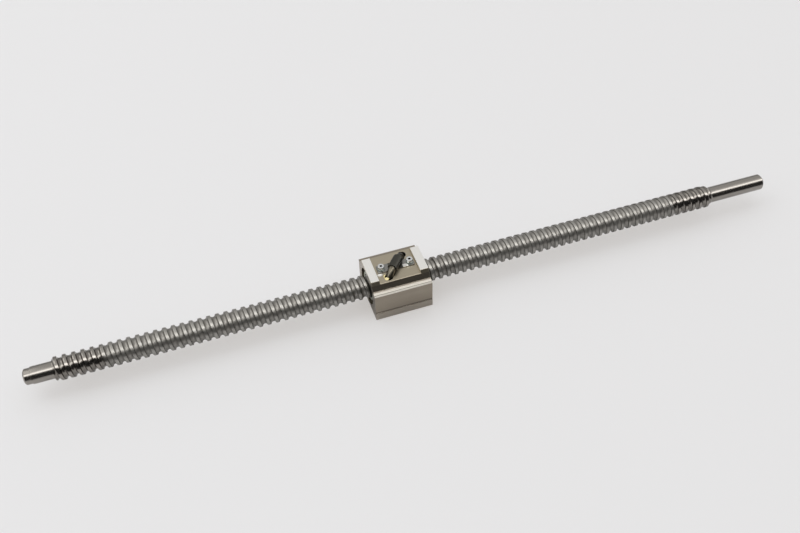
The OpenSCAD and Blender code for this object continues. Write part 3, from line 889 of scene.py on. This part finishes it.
def makeSealRing(side, word, body, s):
    # a rounded rectangle follows an open circle; the opening points down
    section = roundedBox(s["start"], s["end"], s["inner"], s["outer"], s["round"])
    half = math.radians(s["opening"] / 2)
    angle = np.linspace(-np.pi / 2 + half, 1.5 * np.pi - half, s["columns"])[:, None]
    grid = closeEnds(joined(side * section[:, 0], section[:, 1] * np.cos(angle),
                            axisHeight + section[:, 1] * np.sin(angle)))
    makePiece(word + "SealRing", grid, ringSteel, body, word + "_seal_ring")


for side, word, ringBody in ((-1, "left", "turning_ring"), (1, "right", "nut")):
    makeClampScrew(side, word, screwSize)
    makeWasher(side, word, washerSize)
    makeSeal(side, word, sealSize)
    makeSealRing(side, word, ringBody, ringSize)


# Balls

ballSize = {"spacing": 1.025, "rows": 11, "columns": 18}  # spacing in ball diameters
ballStep = 2 * circuit["ballRadius"] * ballSize["spacing"]


def makeBalls(name, centres, node, s):
    # one sphere by latitude and longitude is set at every centre
    rise = np.linspace(-np.pi / 2, np.pi / 2, s["rows"])[:, None]
    angle = fullTurn(s["columns"])
    ball = joined(np.cos(rise) * np.cos(angle), np.cos(rise) * np.sin(angle), np.sin(rise)).reshape(-1, 3)
    one = gridQuads(s["rows"], s["columns"])
    quads = (one + len(ball) * np.arange(len(centres))[:, None, None]).reshape(-1, 4)
    grid = centres[:, None] + circuit["ballRadius"] * ball
    makePiece(name, grid, ballSteel, "nut", node, quads, sharpAngle=80)


def trackCentres():
    # equal steps along the helix, which starts on the near side of the screw
    radius, lead, turns = circuit["circleRadius"], circuit["lead"], circuit["turns"]
    turnLength = math.hypot(2 * np.pi * radius, lead)
    turn = np.arange(math.floor(turns * turnLength / ballStep) + 1) * ballStep / turnLength
    angle = np.pi + 2 * np.pi * turn
    x = circuit["middle"] - turns * lead / 2 + lead * turn
    return joined(x, radius * np.cos(angle), axisHeight + radius * np.sin(angle))


def tubeCentres():
    # equal steps along leg, bend, run, bend and leg
    bend, elbow = tubeSize["bend"], tubeHeight - tubeSize["bend"]
    leg, arc, run = elbow - axisHeight, np.pi / 2 * bend, tubeSpan - 2 * bend
    whole = 2 * leg + 2 * arc + run
    count = math.floor(whole / ballStep) - 1
    place = np.arange(1, count + 1) * whole / (count + 1)
    near = np.minimum(place, whole - place)
    t = np.clip((near - leg) / bend, 0, np.pi / 2)
    inRun = np.maximum(near - leg - arc, 0)
    along = np.sign(place - whole / 2) * (run / 2 + bend * np.cos(t) - inRun)
    height = np.where(near < leg, axisHeight + near, elbow + bend * np.sin(t))
    return acrossNut(along, 0, height)


makeBalls("trackBalls", trackCentres(), "track_balls", ballSize)
makeBalls("tubeBalls", tubeCentres(), "tube_balls", ballSize)


# Hardened drop of sealant between the near bend and its hole

dropSize = {
    "middle": (-7.35, -8.1),
    "reach": (1.25, 1.2),
    "rise": 0.3,
    "sink": 0.25,
    "waves": 0.12,
    "rows": 10,
    "columns": 36,
}


def makeDrop(s):
    # a flattened sphere by latitude and longitude, whose rim swings in and out by two sines of the angle
    rise = np.linspace(-np.pi / 2, np.pi / 2, s["rows"])[:, None]
    angle = fullTurn(s["columns"])
    rim = np.cos(rise) * (1 + s["waves"] * np.sin(3 * angle + 0.8) + 0.5 * s["waves"] * np.sin(5 * angle))
    height = np.sin(rise) * np.where(rise > 0, s["rise"], s["sink"])
    grid = joined(s["middle"][0] + s["reach"][0] * rim * np.cos(angle),
                  s["middle"][1] + s["reach"][1] * rim * np.sin(angle), floorHeight + height)
    makePiece("sealantDrop", grid, sealant, "nut", None, sharpAngle=80)


makeDrop(dropSize)


# Nut block and tube clamp keep the CAD shape, with rounded edges

nutEdges = {
    "round": 0.16,
    "steps": 3,
    "angle": 14.0,
    "shortest": 0.9,
    "clearOfBore": 9.5,  # edges nearer to the screw axis stay sharp
    "grooveRadius": 12.3,  # and so do these, at the ends of the nut
}
clampEdges = {"round": 0.08, "steps": 2, "angle": 30.0}


def roundedCopy(name, node, materials, e, picks):
    # edges sharper than the given angle that picks lets through are bevelled
    mesh = nodes[node].data.copy()
    mesh.materials.clear()
    work = bmesh.new()
    work.from_mesh(mesh)
    bmesh.ops.remove_doubles(work, verts=work.verts[:], dist=1e-7)
    bmesh.ops.dissolve_limit(work, angle_limit=math.radians(0.5), verts=work.verts[:], edges=work.edges[:])
    weight = work.edges.layers.float.new("bevel_weight_edge")
    for edge in work.edges:
        if len(edge.link_faces) == 2 and edge.calc_face_angle() > math.radians(e["angle"]) and picks(edge):
            edge[weight] = 1.0
    work.to_mesh(mesh)
    work.free()
    piece = finishPiece(name, mesh, materials, "nut", node, 30.0)
    bevel = piece.modifiers.new("roundEdges", "BEVEL")
    bevel.width, bevel.segments, bevel.limit_method = e["round"] * mm, e["steps"], "WEIGHT"
    bevel.use_clamp_overlap = False
    even = piece.modifiers.new("evenNormals", "WEIGHTED_NORMAL")
    even.keep_sharp, even.weight = True, 100
    return piece


def outsideEdge(edge):
    # the edges of the bore, the counterbores and the ring grooves stay sharp
    middle = (edge.verts[0].co + edge.verts[1].co) / 2 / mm
    away = math.hypot(middle.y, middle.z - axisHeight)
    limit = nutEdges["grooveRadius"] if abs(middle.x) > sealSize["seat"] else nutEdges["clearOfBore"]
    return edge.calc_length() > nutEdges["shortest"] * mm and away > limit


nut = roundedCopy("nutBlock", "nut_block", [nutSteel, groundSteel], nutEdges, outsideEdge)
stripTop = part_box("nut_block")[1].z
for face in nut.data.polygons:  # level faces at the very top and bottom are ground
    up, height = face.normal.z, face.center.z
    if up > 0.99 and height > stripTop - 0.1 * mm or up < -0.99 and height < 0.1 * mm:
        face.material_index = 1
roundedCopy("tubeClamp", "tube_clamp", [clampSteel], clampEdges, lambda edge: True)


# Floor, light and camera

stageLook = {
    "floor": (0.770, 0.768, 0.777),
    "floorDarker": 0.985,  # share of that colour in its darker clouds
    "floorLit": (0.716, 0.766, 0.838),  # cooler where light falls on it, so that shadows look warm
    "floorGlowing": (0.82, 0.77, 0.72),
    "floorSize": 6.0,  # metres
    "floorGlow": 0.52,  # share of the table that the camera sees without shadows
    "mirroredFloor": (0.04, 0.04, 0.04),  # far parts of the table in reflections
    "frontFades": (-30.0, -160.0),  # there the table darkens between these places
    "backFades": (15.0, 160.0),
    "backFadeShare": 0.6,  # how much it darkens behind the screw
    "room": 0.70,  # strength overhead and behind
    "dark": 0.03,  # strength of the dark room in front
    "lamp": 3.4,  # strength of the long lamp above the camera
    "haze": 0.5,  # strength that the soft light above that lamp adds
    "frontShare": 0.43,  # how strongly either half of the room lights the table
    "backShare": 1.27,
    "darkFrom": -4.0,  # these angles are counted from the front horizon upwards, in degrees
    "lampFrom": 57.0,
    "lampTo": 76.0,
    "hazeTo": 110.0,
    "behindFrom": 145.0,  # from here on the room behind grows darker towards its horizon
    "behind": 0.3,  # its strength there
    "seen": 0.80,  # strength that the camera sees past the floor
}


def makeFloor(s):
    half = s["floorSize"] / 2
    corners = [(-half, -half, 0), (half, -half, 0), (half, half, 0), (-half, half, 0)]
    mesh = bpy.data.meshes.new("floor")
    mesh.from_pydata(corners, [], [(0, 1, 2, 3)])
    material, tree, shader, place = newMaterial("paleFloor", metallic=0.0)
    shade = addNode(tree, "TexNoise", {"Vector": place, "Scale": 3.0, "Detail": 2.0}).outputs[0]
    colour = mixColour(tree, shade, s["floor"], tuple(s["floorDarker"] * c for c in s["floor"]))
    path = addNode(tree, "LightPath").outputs
    y = splitPlace(tree, place)["Y"]
    front = inside(tree, s, frontFades=y)
    back = product(tree, inside(tree, s, backFades=y), s["backFadeShare"])
    faded = product(tree, path["Is Glossy Ray"], calc(tree, "ADD", front, back))
    lit = mixColour(tree, faded, colour, s["mirroredFloor"])
    lit = mixColour(tree, path["Is Camera Ray"], lit, s["floorLit"])
    tree.links.new(lit, shader.inputs["Base Color"])
    shader.inputs["Roughness"].default_value = 0.6
    shader.inputs["Specular IOR Level"].default_value = 0.2
    glow = addNode(tree, "Emission", {"Color": (*s["floorGlowing"], 1)})
    share = product(tree, path["Is Camera Ray"], s["floorGlow"])
    both = addNode(tree, "MixShader", {0: share, 1: shader.outputs[0], 2: glow.outputs[0]})
    output = next(n for n in tree.nodes if n.type == "OUTPUT_MATERIAL")
    tree.links.new(both.outputs[0], output.inputs["Surface"])
    mesh.materials.append(material)
    floor = bpy.data.objects.new("floor", mesh)
    bpy.context.scene.collection.objects.link(floor)


def makeRoom(s):
    # the strength follows the angle round the screw's direction: dark in front, then a long lamp, then a pale
    # room; light that spreads from matt faces sees two plain halves instead
    world = bpy.data.worlds.new("room")
    world.use_nodes = True
    tree = world.node_tree
    tree.nodes.clear()
    x, y, z = splitPlace(tree, addNode(tree, "TexCoord").outputs["Generated"])
    angle = calc(tree, "ARCTAN2", z, product(tree, y, -1.0))

    def passed(start, end):
        return remap(tree, angle, math.radians(start), math.radians(end))

    enter = passed(s["darkFrom"] - 2, s["darkFrom"] + 2)
    lampStart = passed(s["lampFrom"] - 3, s["lampFrom"] + 3)
    lampEnd = passed(s["lampTo"] - 4, s["lampTo"] + 6)
    hazeEnd = passed(s["lampTo"], s["hazeTo"])
    # each stretch adds its strength from its start to its end, and the last one has no end
    stretches = ((enter, lampStart, s["dark"] - s["room"]), (lampStart, lampEnd, s["lamp"] - s["room"]),
                 (lampEnd, hazeEnd, s["haze"]), (passed(s["behindFrom"], 180), 0.0, s["behind"] - s["room"]))
    mirrored = s["room"]
    for start, end, strength in stretches:
        mirrored = calc(tree, "ADD", mirrored, product(tree, calc(tree, "SUBTRACT", start, end), strength))
    spread = addNode(tree, "MapRange", {
        "Value": passed(70, 110), "To Min": s["frontShare"], "To Max": s["backShare"]}).outputs[0]
    path = addNode(tree, "LightPath").outputs
    strength = addNode(tree, "Mix", {0: path["Is Diffuse Ray"], 2: mirrored, 3: spread}).outputs[0]
    light = addNode(tree, "Background", {"Color": (1, 0.99, 0.975, 1), "Strength": strength})
    seen = addNode(tree, "Background", {"Color": (1, 1, 1, 1), "Strength": s["seen"]})
    both = addNode(tree, "MixShader", {0: path["Is Camera Ray"], 1: light.outputs[0], 2: seen.outputs[0]})
    output = addNode(tree, "OutputWorld")
    tree.links.new(both.outputs[0], output.inputs["Surface"])
    bpy.context.scene.world = world


lampSet = {  # in metres and watts
    "place": (-0.9, 0.5, 1.1),
    "size": 0.9,
    "power": 3.0,
    "colour": (1, 0.985, 0.96),
}


def makeLamp(name, s):
    lamp = bpy.data.lights.new(name, "AREA")
    lamp.shape, lamp.size, lamp.size_y = "RECTANGLE", s["size"], s["size"]
    lamp.energy, lamp.color = s["power"], s["colour"]
    piece = bpy.data.objects.new(name, lamp)
    place = np.array(s["place"])
    back = place / np.linalg.norm(place)
    side = np.array([1, 0, 0]) - back[0] * back
    side /= np.linalg.norm(side)
    piece.matrix_world = frameMatrix(side, np.cross(back, side), back, place)
    bpy.context.scene.collection.objects.link(piece)


def frameMatrix(right, up, back, place):
    rows = np.eye(4)
    rows[:3] = np.stack([right, up, back, place], -1)
    return Matrix(rows.tolist())


cameraSet = {
    "azimuth": -16.87,  # degrees
    "elevation": 46.98,
    "roll": -2.28,
    "distance": 520.73,  # from the lens to the screw axis in the middle of the nut, along the view
    "picture": (800, 533),
    "focal": 878.82,  # in pixels of that picture
    "seenAt": (395.43, 278.53),  # where the middle of the nut's axis falls
    "sensor": 36.0,
}


def makeCamera(s):
    turn, rise, roll = (math.radians(s[key]) for key in ("azimuth", "elevation", "roll"))
    back = np.array([math.sin(turn) * math.cos(rise), -math.cos(turn) * math.cos(rise), math.sin(rise)])
    level = np.array([math.cos(turn), math.sin(turn), 0])
    upright = np.cross(back, level)
    right = math.cos(roll) * level + math.sin(roll) * upright
    up = math.cos(roll) * upright - math.sin(roll) * level
    aside = (s["seenAt"][0] - s["picture"][0] / 2) / s["focal"] * s["distance"]
    above = (s["picture"][1] / 2 - s["seenAt"][1]) / s["focal"] * s["distance"]
    place = np.array([0, 0, axisHeight]) - right * aside - up * above + back * s["distance"]
    data = bpy.data.cameras.new("camera")
    data.sensor_width = s["sensor"]
    data.lens = s["focal"] / s["picture"][0] * s["sensor"]
    data.clip_start, data.clip_end = 0.01, 20
    camera = bpy.data.objects.new("camera", data)
    camera.matrix_world = frameMatrix(right, up, back, place * mm)
    bpy.context.scene.collection.objects.link(camera)
    bpy.context.scene.camera = camera


makeFloor(stageLook)
makeRoom(stageLook)
makeLamp("softCeiling", lampSet)
makeCamera(cameraSet)
bpy.context.scene.view_settings.view_transform = "Standard"
print("stage ready")

bpy.context.view_layer.update()
